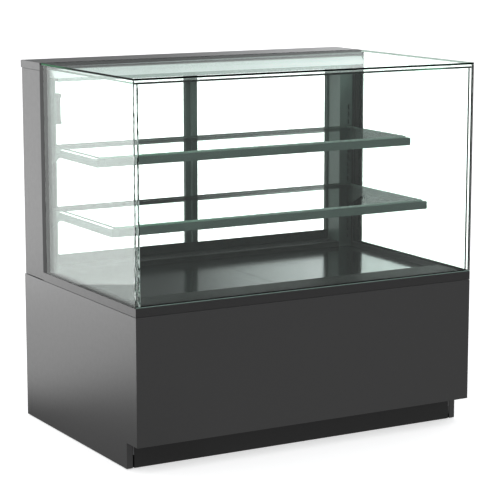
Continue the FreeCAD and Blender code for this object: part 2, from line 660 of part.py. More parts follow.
def shelf_rails(level):
    """Front rail, a hollow bar as tall as the arms, and the thin rear bar."""
    top = f"{level}_top"
    half = "slot_middle - plate_thick / 2 - 0.2"
    front = f"post_front - {level}_reach"
    outside = box(f"{level}_rail_blank", (flip(half), half), (front, f"{front} + rail_deep"),
                  (f"{top} - rail_tall", top))
    inside = box(f"{level}_rail_hollow", (f"-({half}) - 1", f"{half} + 1"),
                 (f"{front} + sheet", f"{front} + rail_deep - sheet"),
                 (f"{top} - rail_tall + sheet", f"{top} - sheet"))
    bar = box(f"{level}_rear_bar", (flip(half), half), ("shelf_glass_rear - rear_bar", "shelf_glass_rear"),
              (f"{top} - rear_bar_tall", top))
    return group(f"{level}_shelf_rails", cut(f"{level}_front_rail", outside, inside), bar)


def shelf_glass(level):
    front = f"post_front - {level}_reach + 9"
    body = extrusion(
        f"{level}_shelf_glass", "XY_Plane", f"{level}_top", "shelf_glass",
        rectangle("-shelf_glass_half", front, "shelf_glass_half", "shelf_glass_rear"),
    )
    return grind_edges(body, "arris / 2")


# ---------------------------------------------------------------- sliding doors
def door(side):
    """Framed sliding door: meeting stile near the middle, wider outer stile with a grip on the operator side."""
    name = "door_right" if side > 0 else "door_left"
    front = "inner_plane" if side > 0 else "outer_plane"
    rear = f"{front} + door_thick"
    edge_x = mirror_x(side, "-meeting_lap" if side > 0 else "0", "door_edge")
    window_x = mirror_x(side, "meeting_stile - meeting_lap" if side > 0 else "meeting_stile",
                        "door_edge - outer_stile")
    window_z = ("door_low + door_rail", "door_high - door_rail")
    middle = f"{front} + door_thick / 2"
    blank = box(name + "_blank", edge_x, (front, rear), ("door_low", "door_high"))
    window = box(name + "_window", window_x, (f"{front} - 1", f"{rear} + 1"), window_z)
    groove = box(name + "_groove", (f"{window_x[0]} - glass_groove", f"{window_x[1]} + glass_groove"),
                 (f"{middle} - door_glass / 2 - 0.2", f"{middle} + door_glass / 2 + 0.2"),
                 (f"{window_z[0]} - glass_groove", f"{window_z[1]} + glass_groove"))
    grip = box(name + "_grip", mirror_x(side, "door_edge - grip_wide", "door_edge"),
               (f"{rear} - 1", f"{rear} + grip_proud"), ("grip_low", "grip_high"))
    frame = fuse(name + "_frame", cut(name + "_profile", blank, window, groove), grip)
    pane = box(name + "_glass", (f"{window_x[0]} - glass_groove + 0.5", f"{window_x[1]} + glass_groove - 0.5"),
               (f"{middle} - door_glass / 2", f"{middle} + door_glass / 2"),
               (f"{window_z[0]} - glass_groove + 0.5", f"{window_z[1]} + glass_groove - 0.5"))
    return [frame, pane]


# ---------------------------------------------------------------- cold well under the deck
PIPE_X = ("tub_half - tub_wall - 30", "tub_half - tub_wall - 50")
PIPE_Y = ("compressor_y + 30", "compressor_y - 10")
STUB_Z = ("215", "180")
COIL_Z = tuple(f"tub_low + tub_floor + (coil_high - tub_low - tub_floor) * {part}" for part in (0.75, 0.25))


def insulated_tub():
    """Double-skinned tub that holds the evaporator, with a shoulder under the rear posts."""
    outer_x = ("-tub_half", "tub_half")
    inner_x = ("-(tub_half - tub_wall)", "tub_half - tub_wall")
    cavity_rear = "deck_rear - tub_wall"
    shell = box("tub_blank", outer_x, ("-tub_front", "track_rear"), ("tub_low", "tub_rim"))
    shoulder = box("tub_shoulder", outer_x, ("deck_rear + play", "track_rear"), ("tub_rim - 1", SEAM))
    cavity = box("tub_cavity", inner_x, ("-(tub_front - tub_wall)", cavity_rear),
                 ("tub_low + tub_floor", "tub_rim + 1"))
    duct_rear = "track_front - 20"
    duct = box("air_duct", inner_x, (f"{cavity_rear} - 1", duct_rear), ("coil_high - 20", "tub_rim - 15"))
    riser = box("air_riser", inner_x, ("post_front + 10", duct_rear), ("coil_high - 20", f"{SEAM} + 1"))
    places = list(zip(PIPE_X, PIPE_Y))
    holes = [rod("pipe_hole_bore", "pipe_hole", (x, y, "tub_low - 1"), "tub_floor + 2") for x, y in places]
    sleeves = [rod("pipe_sleeve", "pipe_hole + 3", (x, y, "tub_low - 1"), "tub_floor + 2") for x, y in places]
    outside = ("-(tub_half - tub_skin)", "tub_half - tub_skin")
    foam_front, foam_rear = "-(tub_front - tub_skin)", "track_rear - tub_skin"
    foam_low = "tub_low + tub_skin"
    rim = "tub_rim - tub_skin"
    duct_floor = "coil_high - 20 - tub_skin"
    foam = [
        box("foam_floor", outside, (foam_front, foam_rear), (foam_low, "tub_low + tub_floor - tub_skin")),
        box("foam_front", outside, (foam_front, "-(tub_front - tub_wall) - tub_skin"), (foam_low, rim)),
        box("foam_under_duct", outside, (f"{cavity_rear} + tub_skin", foam_rear), (foam_low, duct_floor)),
        box("foam_behind_duct", outside, (f"{duct_rear} + tub_skin", foam_rear), (foam_low, f"{SEAM} - tub_skin")),
    ]
    for side in (-1, 1):
        wall = mirror_x(side, "tub_half - tub_wall + tub_skin", "tub_half - tub_skin")
        foam.append(box("foam_side", wall, (foam_front, foam_rear), (foam_low, rim)))
    core = cut("foam_core", fuse("foam_blocks", *foam), *sleeves)
    return cut("insulated_tub", fuse("tub_body", shell, shoulder), cavity, duct, riser, core, *holes)


def finned_coil(name, x_range, y_range, z_range, fins, rows, extra=()):
    """Tubes through a stack of fins between two end plates."""
    low, high = x_range
    pieces = [box("end_plate", (low, f"{low} + 2"), y_range, z_range),
              box("end_plate", (f"{high} - 2", high), y_range, z_range)]
    for index in range(1, fins + 1):
        x = f"{low} + (({high}) - ({low})) * {index} / {fins + 1}"
        pieces.append(box("fin", (f"{x} - 0.4", f"{x} + 0.4"), (f"{y_range[0]} + 2", f"{y_range[1]} - 2"),
                          (f"{z_range[0]} + 6", f"{z_range[1]} - 6")))
    for across in range(rows[0]):
        for up in range(rows[1]):
            y = f"{y_range[0]} + (({y_range[1]}) - ({y_range[0]})) * {2 * across + 1} / {2 * rows[0]}"
            z = f"{z_range[0]} + (({z_range[1]}) - ({z_range[0]})) * {2 * up + 1} / {2 * rows[1]}"
            pieces.append(rod("tube", "pipe_radius", (f"{low} - 8", y, z), f"({high}) - ({low}) + 16", "x"))
    return fuse(name, *pieces, *extra)


def evaporator():
    return finned_coil("evaporator", ("-coil_half", "coil_half"), ("coil_front", "coil_rear"),
                       ("tub_low + tub_floor", "coil_high"), 40, (3, 2))


def condenser():
    """Finned coil with a plate around the fan opening behind it."""
    low_x, high_x = "condenser_low_x", "condenser_high_x"
    front, rear = "-condenser_front", "-condenser_rear"
    plate = box("shroud_blank", (low_x, high_x), (f"{rear} - 1", f"{rear} + 2"),
                ("condenser_low - 2", "condenser_high"))
    collar = rod("shroud_collar", "fan_radius + 7", ("fan_x", rear, "fan_z"), "25", "y")
    opening = rod("shroud_opening", "fan_radius + 5", ("fan_x", f"{rear} - 2", "fan_z"), "30", "y")
    shroud = cut("shroud", fuse("shroud_with_collar", plate, collar), opening)
    return finned_coil("condenser", (low_x, high_x), (front, rear), ("condenser_low - 2", "condenser_high"),
                       28, (2, 5), (shroud,))


def fan(name, x, y, z, radius, hub, blades, chord):
    """Hub, shaft and tilted blades turning about an axis along Y; the shaft reaches back into the motor."""
    pieces = [rod(name + "_hub", hub, (x, y, z), "16", "y"),
              rod(name + "_shaft", "shaft_radius", (x, y, z), "44", "y")]
    centre = Vector(number(x), number(y) + 8, number(z))
    for index in range(blades):
        blade = doc.addObject("Part::Box", "Blade")
        blade.Label = name + "_blade"
        blade.setExpression("Length", formula(f"{radius} + 5"))
        blade.Width = 1.6
        blade.Height = chord
        blade.Placement = (
            FreeCAD.Placement(centre, Rotation(Vector(0, 1, 0), 360 / blades * index))
            * FreeCAD.Placement(Vector(), Rotation(Vector(1, 0, 0), 62))
            * FreeCAD.Placement(Vector(0, -0.8, -chord / 2), Rotation())
        )
        pieces.append(blade)
    sweep = rod(name + "_sweep", radius, (x, f"{y} - 20", z), "70", "y")
    return common(name, fuse(name + "_wheel", *pieces), sweep)


def motor(name, x, y, z, radius, length):
    """Round motor with the bore for the fan's shaft."""
    can = rod(name + "_can", radius, (x, y, z), length, "y")
    bore = rod(name + "_bore", "shaft_radius + shaft_clearance", (x, f"{y} - 1", z), "27", "y")
    return can, bore


def evaporator_fan_plate():
    """Upright plate across the tub with two openings; a bar across each opening carries a motor."""
    front = "fan_plate_front"
    low, high = "tub_low + tub_floor", "tub_rim - 2"
    plate = box("fan_plate_blank", ("-(tub_half - tub_wall - 1)", "tub_half - tub_wall - 1"),
                (front, f"{front} + 2"), (low, high))
    openings, carriers, bores = [], [], []
    for side in ("-cold_fan_x", "cold_fan_x"):
        openings.append(rod("fan_opening", "cold_fan_radius + 4", (side, f"{front} - 1", "cold_fan_z"), "4", "y"))
        carriers.append(box("motor_bar", (f"{side} - cold_fan_radius - 10", f"{side} + cold_fan_radius + 10"),
                            (f"{front} + 1", f"{front} + 4"), ("cold_fan_z - 8", "cold_fan_z + 8")))
        can, bore = motor("cold_motor", side, f"{front} + 2", "cold_fan_z", "20", "38")
        carriers.append(can)
        bores.append(bore)
    return cut("evaporator_fan_plate", fuse("fan_plate_with_motors", cut("fan_plate", plate, *openings), *carriers),
               *bores)


def condenser_fan_motor():
    """Motor on a bracket that stands on the base pan."""
    start = "-condenser_rear + 50"
    can, bore = motor("condenser_motor", "fan_x", start, "fan_z", "32", "60")
    leg = box("motor_leg", ("fan_x - 20", "fan_x + 20"), (f"{start} + 25", f"{start} + 35"),
              ("pan_top", "fan_z - 20"))
    foot = box("motor_foot", ("fan_x - 35", "fan_x + 35"), (f"{start} + 5", f"{start} + 60"),
               ("pan_top", "pan_top + 3"))
    return cut("condenser_fan_motor", fuse("motor_on_bracket", can, leg, foot), bore)


def compressor():
    """Hermetic compressor: a domed can on a foot plate, four rubber mounts and a terminal box."""
    can = turned_profile(
        "compressor_can",
        [("0", "can_low"), ("can_radius - 6", "can_low"), ("can_radius", "can_low + 8"), ("can_radius", "190"),
         ("can_radius - 4", "214"), ("can_radius - 18", "236"), ("can_radius - 44", "250"), ("0", "can_high")],
        "compressor_x", "compressor_y",
    )
    plate = box("compressor_plate", ("compressor_x - 105", "compressor_x + 105"),
                ("compressor_y - 65", "compressor_y + 65"), ("pan_top + 8", "pan_top + 12"))
    mounts = [rod("rubber_mount", "13", (f"compressor_x + {x}", f"compressor_y + {y}", "pan_top"), "9")
              for x in (-88, 88) for y in (-48, 48)]
    terminals = box("terminal_box", ("compressor_x - 112", "compressor_x - 70"),
                    ("compressor_y - 30", "compressor_y + 30"), ("140", "210"))
    stubs, bores = [], []
    for y, z in zip(PIPE_Y, STUB_Z):
        stubs.append(rod("pipe_stub", "pipe_radius + 3", ("compressor_x + 60", y, z), "32", "x"))
        bores.append(rod("stub_bore", "pipe_radius + 0.2", ("compressor_x + 82", y, z), "11", "x"))
    inside = turned_profile(
        "compressor_inside",
        [("0", "can_low + 6"), ("can_radius - 10", "can_low + 6"), ("can_radius - 6", "can_low + 12"),
         ("can_radius - 6", "188"), ("can_radius - 10", "210"), ("can_radius - 24", "230"), ("0", "can_high - 13")],
        "compressor_x", "compressor_y",
    )
    body = fuse("compressor_body", can, plate, terminals, *mounts, *stubs)
    return cut("compressor", body, inside, *bores)


def bent_pipe(points, radius, bend):
    """A round pipe along straight runs joined by equal arcs."""
    path = []
    start = points[0]
    for before, corner, after in zip(points, points[1:], points[2:]):
        back = (before - corner).normalize()
        ahead = (after - corner).normalize()
        half_angle = back.getAngle(ahead) / 2
        setback = bend / math.tan(half_angle)
        enter, leave = corner + back * setback, corner + ahead * setback
        towards = (back + ahead).normalize()
        middle = corner + towards * (bend / math.sin(half_angle) - bend)
        path += [Part.LineSegment(start, enter).toShape(), Part.Arc(enter, middle, leave).toShape()]
        start = leave
    path.append(Part.LineSegment(start, points[-1]).toShape())
    wire = Part.Wire(path)
    section = Part.Wire(Part.Circle(points[0], points[1] - points[0], radius).toShape())
    return wire.makePipeShell([section], True, True)


def refrigerant_lines():
    """Suction and liquid line, from the compressor up through the tub floor to the evaporator."""
    radius, bend = number("pipe_radius"), number("pipe_bend")
    start, end = number("compressor_x + 83"), number("coil_half + 8")
    lines = []
    for place in zip(PIPE_X, PIPE_Y, STUB_Z, COIL_Z):
        x, y, low, high = (number(text) for text in place)
        points = [Vector(start, y, low), Vector(x, y, low), Vector(x, y, high), Vector(end, y, high)]
        lines.append(bent_pipe(points, radius, bend))
    item = doc.addObject("Part::Feature", "Lines")
    item.Label = "refrigerant_lines"
    item.Shape = Part.makeCompound(lines)
    return item


# ---------------------------------------------------------------- rear side
SCREW_PLACES = [("-540", "490"), ("0", "490"), ("540", "490"), ("-540", "230"), ("-300", "230"), ("540", "350")]


def rear_panel():
    """Fixed rear cover, with the window of the controls, the cable gland hole and the screw holes."""
    front = f"{REAR} - rear_panel_deep"
    half = f"{INSIDE} - 1"
    split = "-service_left - 2"
    low_left, low_right = "tray_face_high + 4", "service_high + 4"

    def outline(inset):
        return [(f"-({half}) + {inset}", f"{low_left} + {inset}"), (f"{split} - {inset}", f"{low_left} + {inset}"),
                (f"{split} - {inset}", f"{low_right} + {inset}"), (f"{half} - {inset}", f"{low_right} + {inset}"),
                (f"{half} - {inset}", f"band_top - {inset}"), (f"-({half}) + {inset}", f"band_top - {inset}")]

    blank = extrusion("rear_panel_blank", "XZ_Plane", front, "rear_panel_deep", outline("0"))
    hollow = extrusion("rear_panel_hollow", "XZ_Plane", f"{front} - 1", "rear_panel_deep - rear_skin + 1",
                       outline("sheet"))
    window = box("fascia_window", ("fascia_x - fascia_wide / 2", "fascia_x + fascia_wide / 2"),
                 (f"{REAR} - 5", f"{REAR} + 1"), ("fascia_z - fascia_tall / 2", "fascia_z + fascia_tall / 2"))
    gland_hole = rod("gland_hole", "gland_radius - 2.5", ("-gland_x", f"{REAR} - 5", "gland_z"), "6", "y")
    screw_holes = [rod("screw_hole", "2.6", (x, f"{REAR} - 5", z), "6", "y") for x, z in SCREW_PLACES]
    return cut("rear_panel", blank, hollow, window, gland_hole, *screw_holes)


def fixing_screws():
    """Countersunk panel screws, one solid each, sitting in the rear panel's holes."""
    screws = []
    for x, z in SCREW_PLACES:
        shank = rod("screw_shank", "2.4", (x, f"{REAR} - 14", z), "13.5", "y")
        collar = rod("screw_collar", "4.5", (x, f"{REAR} - 4.5", z), "2.3", "y")
        screws.append(fuse("screw", shank, collar))
    return group("fixing_screws", *screws)


def service_panel():
    """Louvred cover of the machine space, a folded pan that lifts off."""
    front, rear = f"{REAR} - rear_panel_deep + 2", f"{REAR} - 2"
    left, right = "-service_left", f"{INSIDE} - 2"
    body = extrusion(
        "service_panel_sheet", "XZ_Plane", f"{rear} - rear_skin", "rear_skin",
        rectangle(left, "service_low", right, "service_high"),
    )
    middle = f"(({right}) + ({left})) / 2"
    low = "service_low + 24"
    sheet_with_louvres = cut_row(
        body, "XZ_Plane", "-rear_skin / 2",
        rectangle(f"{middle} - louvre_wide / 2", low, f"{middle} + louvre_wide / 2", f"{low} + louvre_tall"),
        "2 * rear_skin", "V_Axis", "louvre_pitch", "louvre_count",
    )
    rim = cut(
        "service_rim",
        box("service_rim_blank", (left, right), (front, f"{rear} - 1"), ("service_low", "service_high")),
        box("service_rim_hollow", (f"{left} + sheet", f"{right} - sheet"), (f"{front} - 1", f"{rear} + 1"),
            ("service_low + sheet", "service_high - sheet")),
    )
    return fuse("service_panel", sheet_with_louvres, rim)


def drip_tray():
    """Tray for the defrost water: it slides out of the rear on the base pan."""
    face_front, face_rear = f"{REAR} - 14", f"{REAR} - 4"
    face = box("tray_face", ("-tray_left", "-tray_right"), (face_front, face_rear),
               ("tray_face_low", "tray_face_high"))
    x_range = ("-tray_left + tray_inset", "-tray_right - 15")
    outside = box("tray_blank", x_range, ("60", f"{face_front} + 1"), ("pan_top + 0.3", "pan_top + tray_tall"))
    inside = box("tray_hollow", (f"{x_range[0]} + 3", f"{x_range[1]} - 3"), ("63", f"{face_front} - 3"),
                 ("pan_top + 3.3", "pan_top + tray_tall + 1"))
    finger = box("tray_finger_recess", ("-(tray_left + tray_right) / 2 - 60", "-(tray_left + tray_right) / 2 + 60"),
                 (f"{face_rear} - 6", f"{face_rear} + 1"), ("tray_face_low - 1", "tray_face_low + 22"))
    return cut("drip_tray", fuse("tray_body", face, outside), inside, finger)


def control_panel():
    """Thermostat fascia in the rear panel: display recess, four keys and the opening of the rocker switch."""
    face = box("fascia", ("fascia_x - fascia_wide / 2 + play", "fascia_x + fascia_wide / 2 - play"),
               (f"{REAR} - 5", f"{REAR} - 1"),
               ("fascia_z - fascia_tall / 2 + play", "fascia_z + fascia_tall / 2 - play"))
    flange = box("fascia_flange", ("fascia_x - fascia_wide / 2 - 6", "fascia_x + fascia_wide / 2 + 6"),
                 (f"{REAR} - 8", f"{REAR} - rear_skin - play"),
                 ("fascia_z - fascia_tall / 2 - 6", "fascia_z + fascia_tall / 2 + 6"))
    display = box("display_recess", ("fascia_x - 90", "fascia_x - 20"), (f"{REAR} - 2", f"{REAR}"),
                  ("fascia_z - 16", "fascia_z + 16"))
    opening = box("switch_opening", ("switch_x - switch_wide / 2 - 0.5", "switch_x + switch_wide / 2 + 0.5"),
                  (f"{REAR} - 9", f"{REAR}"),
                  ("fascia_z - switch_tall / 2 - 1.5", "fascia_z + switch_tall / 2 + 1.5"))
    keys = [rod("key", "5", (f"fascia_x + {x}", f"{REAR} - 3", f"fascia_z + {z}"), "2.8", "y")
            for x in (2, 26) for z in (-10, 10)]
    pin_bore = rod("pin_bore", "pin_radius + shaft_clearance",
                   ("switch_x - switch_wide / 2 - 2.5", f"{REAR} - 5", "fascia_z"), "switch_wide + 5", "x")
    body = fuse("fascia_with_keys", cut("fascia_plate", face, display), flange, *keys)
    return cut("control_panel", body, opening, pin_bore)


def power_switch():
    """Rocker of the mains switch, tilted to its on position about a pin along X."""
    pivot = Vector(number("switch_x"), number(f"{REAR} - 5"), number("fascia_z"))
    rocker = box("rocker", ("-switch_wide / 2", "switch_wide / 2"), ("-3.5", "3"),
                 ("-switch_tall / 2", "switch_tall / 2"))
    pin = rod("rocker_pin", "pin_radius", ("-switch_wide / 2 - 2", "0", "0"), "switch_wide + 4", "x")
    switch = fuse("power_switch", rocker, pin)
    switch.Placement = FreeCAD.Placement(pivot, Rotation(Vector(1, 0, 0), number("switch_tilt")))
    return switch


def power_inlet():
    """Cable gland in the rear panel: body through the skin, nut behind it and a bored dome outside."""
    x, z = "-gland_x", "gland_z"
    neck = rod("gland_neck", "gland_radius - 3", (x, f"{REAR} - 12", z), "12", "y")
    nut = rod("gland_nut", "gland_radius", (x, f"{REAR} - 8", z), "5.5", "y")
    bore = rod("gland_bore", "gland_radius - 6.5", (x, f"{REAR} - 13", z), "14", "y")
    return cut("power_inlet", fuse("gland_body", neck, nut), bore)


# ---------------------------------------------------------------- the whole case
nodes = [base_pan(), front_panel(), kick_plate(), front_band(), insulated_tub()]
nodes += [levelling_foot(name) for name in FOOT_PLACES]
for hand in (-1, 1):
    nodes += [base_side(hand), side_frame(hand), rear_post(hand), side_glass(hand), deck_panel(hand)]
    nodes += door(hand)
nodes += [header_cap(), header_rail(), door_sill(), temperature_probe_guard()]
nodes += [front_glass(), top_glass(), glazing_seals(), lamp_housing(), lamp_diffuser(), led_strip()]
nodes += [front_ledge(), air_outlet_ledge()]
for height in ("upper", "lower"):
    nodes += [shelf_bracket(height, -1), shelf_bracket(height, 1), shelf_rails(height), shelf_glass(height)]
nodes += [evaporator(), evaporator_fan_plate(), condenser(), condenser_fan_motor(), compressor()]
nodes += [
    fan("evaporator_fan_left", "-cold_fan_x", "fan_plate_front - 22", "cold_fan_z", "cold_fan_radius", "16", 7, 26),
    fan("evaporator_fan_right", "cold_fan_x", "fan_plate_front - 22", "cold_fan_z", "cold_fan_radius", "16", 7, 26),
    fan("condenser_fan", "fan_x", "-condenser_rear + 16", "fan_z", "fan_radius", "24", 5, 44),
]
nodes += [rear_panel(), fixing_screws(), service_panel(), drip_tray(), control_panel(), power_switch(), power_inlet()]
nodes.append(refrigerant_lines())

doc.recompute()
failed = [item.Label for item in doc.Objects if "Invalid" in item.State or "Error" in item.State]
if failed:
    raise SystemExit(f"these objects failed: {failed}")
os.makedirs("parts", exist_ok=True)
for node in nodes:
    if node.Shape.isNull() or not node.Shape.isValid() or not node.Shape.Solids:
        raise SystemExit(f"{node.Label} has no valid solid")
    node.Shape.exportStep(f"parts/{node.Label}.step")
    print(f"{node.Label:30s} solids {len(node.Shape.Solids)}  volume {node.Shape.Volume / 1000:10.1f} cm3")
print(len(nodes), "nodes")
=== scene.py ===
import json
import math

import bpy
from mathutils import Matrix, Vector


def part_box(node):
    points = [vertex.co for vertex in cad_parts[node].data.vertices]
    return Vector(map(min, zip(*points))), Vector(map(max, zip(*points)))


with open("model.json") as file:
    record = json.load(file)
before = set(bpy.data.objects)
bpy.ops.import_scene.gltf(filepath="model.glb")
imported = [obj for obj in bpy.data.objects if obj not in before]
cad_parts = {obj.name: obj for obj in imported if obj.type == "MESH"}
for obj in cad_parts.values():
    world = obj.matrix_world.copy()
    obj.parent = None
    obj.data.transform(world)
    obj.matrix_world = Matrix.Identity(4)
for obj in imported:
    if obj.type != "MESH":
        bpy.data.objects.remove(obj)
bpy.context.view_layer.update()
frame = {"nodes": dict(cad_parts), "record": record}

NODES = frame["nodes"]
scene = bpy.context.scene


# ---------------------------------------------------------------- shader helpers
def shade(value, share):
    """A colour or a grey value times a share."""
    if isinstance(value, tuple):
        return tuple(channel * share for channel in value)
    return value * share


def even(colour):
    """Ramp stops that hold one colour."""
    return [(0.0, colour), (1.0, colour)]


class Shader:
    """A material's node tree, with short calls for the nodes that the finishes share."""

    def __init__(self, name):
        self.material = bpy.data.materials.new(name)
        self.material.use_nodes = True
        self.tree = self.material.node_tree
        self.tree.nodes.clear()
        self.output = self.tree.nodes.new("ShaderNodeOutputMaterial")
        self.coordinates = self.tree.nodes.new("ShaderNodeTexCoord").outputs["Object"]

    def node(self, kind, **values):
        made = self.tree.nodes.new(kind)
        for key, value in values.items():
            setattr(made, key, value)
        return made

    def link(self, source, target):
        self.tree.links.new(source, target)

    def show(self, shader):
        self.link(shader, self.output.inputs["Surface"])
        return self.material

    def principled(self, **sockets):
        made = self.node("ShaderNodeBsdfPrincipled")
        for key, value in sockets.items():
            made.inputs[key.replace("_", " ")].default_value = value
        return made

    def blend(self, factor, first, second):
        """Two shaders mixed by a factor, from the first at 0 to the second at 1."""
        made = self.node("ShaderNodeMixShader")
        self.link(factor, made.inputs["Fac"])
        self.link(first, made.inputs[1])
        self.link(second, made.inputs[2])
        return made.outputs["Shader"]

    def maths(self, operation, *values):
        """A Math node, whose values are sockets or numbers."""
        made = self.node("ShaderNodeMath", operation=operation)
        for socket, value in zip(made.inputs, values):
            if isinstance(value, float):
                socket.default_value = value
            else:
                self.link(value, socket)
        return made.outputs["Value"]

    def along(self, axis):
        """One of the object coordinates, in metres."""
        split = self.node("ShaderNodeSeparateXYZ")
        self.link(self.coordinates, split.inputs["Vector"])
        return split.outputs[axis]

    def spread(self, value, low, high):
        """A value mapped from low..high onto 0..1."""
        made = self.node("ShaderNodeMapRange")
        made.inputs["From Min"].default_value = low
        made.inputs["From Max"].default_value = high
        self.link(value, made.inputs["Value"])
        return made.outputs["Result"]

    def stretched(self, scale, rotation=(0.0, 0.0, 0.0)):
        """The object coordinates, scaled on each axis and turned."""
        mapping = self.node("ShaderNodeMapping")
        mapping.inputs["Rotation"].default_value = rotation
        mapping.inputs["Scale"].default_value = scale
        self.link(self.coordinates, mapping.inputs["Vector"])
        return mapping.outputs["Vector"]

    def noise(self, scale, detail=3.0, roughness=0.5, vector=None):
        made = self.node("ShaderNodeTexNoise")
        made.inputs["Scale"].default_value = scale
        made.inputs["Detail"].default_value = detail
        made.inputs["Roughness"].default_value = roughness
        self.link(vector or self.coordinates, made.inputs["Vector"])
        return made.outputs["Fac"]

    def ramp(self, factor, stops):
        """Colours or grey values placed along a factor."""
        made = self.node("ShaderNodeValToRGB")
        elements = made.color_ramp.elements
        while len(elements) < len(stops):
            elements.new(0.5)
        for element, (place, colour) in zip(elements, stops):
            if not isinstance(colour, tuple):
                colour = (colour, colour, colour)
            element.position = place
            element.color = (*colour, 1.0)
        self.link(factor, made.inputs["Fac"])
        return made.outputs["Color"]

    def vary(self, socket, pattern, value, *stops):
        """Feeds a socket a value that follows a pattern. Each stop is a place and a share of the value."""
        self.link(self.ramp(pattern, [(place, shade(value, share)) for place, share in stops]), socket)

    def roughen(self, bsdf, pattern, height):
        """Relief on a surface, with its height in metres."""
        bump = self.node("ShaderNodeBump")
        bump.inputs["Distance"].default_value = height
        self.link(pattern, bump.inputs["Height"])
        self.link(bump.outputs["Normal"], bsdf.inputs["Normal"])


# ---------------------------------------------------------------- finishes of the material slots
def powder_coat(name, colour, roughness, grain=0.00002, ior=1.5, gloss=(1.0, 1.0, 1.0)):
    """Sprayed and baked paint: fine orange peel, faint clouds in the colour and in the gloss."""
    s = Shader(name)
    bsdf = s.principled(IOR=ior, Specular_Tint=(*gloss, 1.0))
    s.vary(bsdf.inputs["Base Color"], s.noise(5.0, 4.0), colour, (0.3, 0.93), (0.7, 1.07))
    s.vary(bsdf.inputs["Roughness"], s.noise(60.0, 5.0, 0.6), roughness, (0.25, 0.9), (0.75, 1.12))
    s.roughen(bsdf, s.noise(900.0, 2.0), grain)
    return s.show(bsdf.outputs["BSDF"])


def anodised(name, colour, roughness):
    """Drawn metal: fine lines along Z and a soft, even sheen."""
    s = Shader(name)
    bsdf = s.principled(Metallic=1.0)
    lines = s.noise(1.0, 4.0, 0.6, s.stretched((700.0, 700.0, 2.0)))
    s.vary(bsdf.inputs["Base Color"], lines, colour, (0.25, 0.88), (0.75, 1.08))
    s.vary(bsdf.inputs["Roughness"], lines, roughness, (0.2, 0.8), (0.8, 1.25))
    s.roughen(bsdf, lines, 0.00002)
    return s.show(bsdf.outputs["BSDF"])


def galvanised(name, colour, roughness):
    """Zinc-coated sheet with its spangle."""
    s = Shader(name)
    bsdf = s.principled(Metallic=1.0)
    spangle = s.node("ShaderNodeTexVoronoi")
    spangle.inputs["Scale"].default_value = 90.0
    s.link(s.coordinates, spangle.inputs["Vector"])
    s.vary(bsdf.inputs["Base Color"], spangle.outputs["Color"], colour, (0.1, 0.8), (0.9, 1.12))
    s.vary(bsdf.inputs["Roughness"], s.noise(40.0), roughness, (0.3, 0.8), (0.7, 1.2))
    return s.show(bsdf.outputs["BSDF"])


def moulded(name, colour, roughness, ior=1.48):
    """Moulded plastic or rubber with a fine spark-eroded surface."""
    s = Shader(name)
    bsdf = s.principled(IOR=ior)
    s.vary(bsdf.inputs["Base Color"], s.noise(30.0, 4.0), colour, (0.3, 0.85), (0.7, 1.15))
    s.vary(bsdf.inputs["Roughness"], s.noise(120.0), roughness, (0.3, 0.88), (0.7, 1.12))
    s.roughen(bsdf, s.noise(700.0, 2.0), 0.00003)
    return s.show(bsdf.outputs["BSDF"])


def glowing(name, colour, strength):
    """A lit surface: its own light over a pale moulding, a little uneven along its length."""
    s = Shader(name)
    bsdf = s.principled(Roughness=0.5, IOR=1.48, Emission_Strength=strength)
    patches = s.noise(9.0, 2.0)
    s.vary(bsdf.inputs["Base Color"], patches, colour, (0.3, 0.94), (0.7, 1.0))
    s.vary(bsdf.inputs["Emission Color"], patches, colour, (0.3, 0.96), (0.7, 1.0))
    return s.show(bsdf.outputs["BSDF"])


GLASS_IOR = 1.5
GLASS_POLISH = 0.02  # roughness of the mirror on a face
MIRROR_TINT = (0.96, 1.0, 0.98, 1.0)
CLEAR_TINT = (0.978, 0.996, 0.988)  # what one face of a 6 mm pane passes
GLARE_LIMIT = 0.13  # the most that one face mirrors, however flat the view over it
SIDE_GLARE_LIMIT = 0.095  # the same for the side panes, which mirror the brightest part of the floor


def clear_glass(name, tint, glare_limit=GLARE_LIMIT, border=None, band=None):
    """Flat coated glass: straight through with a green tint, and a Fresnel mirror on each face.

    border is an axis, a comparison and a place in metres, past which the pane has an opaque band.
    band is the colour of that band.
    """
    s = Shader(name)
    through = s.node("ShaderNodeBsdfTransparent")
    s.vary(through.inputs["Color"], s.noise(1.2, 2.0), tint, (0.3, 0.99), (0.7, 1.0))
    mirror = s.node("ShaderNodeBsdfGlossy")
    mirror.inputs["Roughness"].default_value = GLASS_POLISH
    mirror.inputs["Color"].default_value = MIRROR_TINT
    outward = s.node("ShaderNodeMapRange")
    outward.inputs["To Min"].default_value = GLASS_IOR
    outward.inputs["To Max"].default_value = 1 / GLASS_IOR
    s.link(s.node("ShaderNodeNewGeometry").outputs["Backfacing"], outward.inputs["Value"])
    fresnel = s.node("ShaderNodeFresnel")
    s.link(outward.outputs["Result"], fresnel.inputs["IOR"])
    coated = s.maths("MINIMUM", fresnel.outputs["Fac"], glare_limit)
    pane = s.blend(coated, through.outputs["BSDF"], mirror.outputs["BSDF"])
    if border is None:
        return s.show(pane)
    axis, comparison, place = border
    print_and_highlight_band = s.principled(Roughness=0.5, IOR=1.35)
    s.vary(print_and_highlight_band.inputs["Base Color"], s.noise(300.0, 2.0), band, (0.3, 0.8), (0.7, 1.2))
    past = s.maths(comparison, s.along(axis), place)
    return s.show(s.blend(past, pane, print_and_highlight_band.outputs["BSDF"]))


